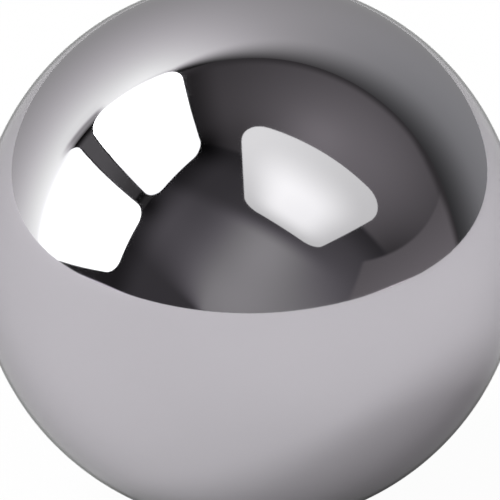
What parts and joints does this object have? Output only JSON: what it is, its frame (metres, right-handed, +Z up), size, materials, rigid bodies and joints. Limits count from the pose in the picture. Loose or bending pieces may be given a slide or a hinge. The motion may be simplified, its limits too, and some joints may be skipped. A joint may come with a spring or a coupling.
{
  "type": "steel ball",
  "caption": "Solid steel ball ground to a true sphere and polished to a mirror, for rolling, seating in a cup or ring, or use as a bench weight.",
  "frame": {"origin": "centre of the ball", "axes": "+Z up; a ball is alike about every axis"},
  "size_m": [0.0254, 0.0254, 0.0254],
  "materials": {
    "polished_steel": "bare hardened steel, lapped and polished to a clear mirror"
  },
  "bodies": {
    "root": {"ball": "polished_steel"}
  },
  "joints": []
}
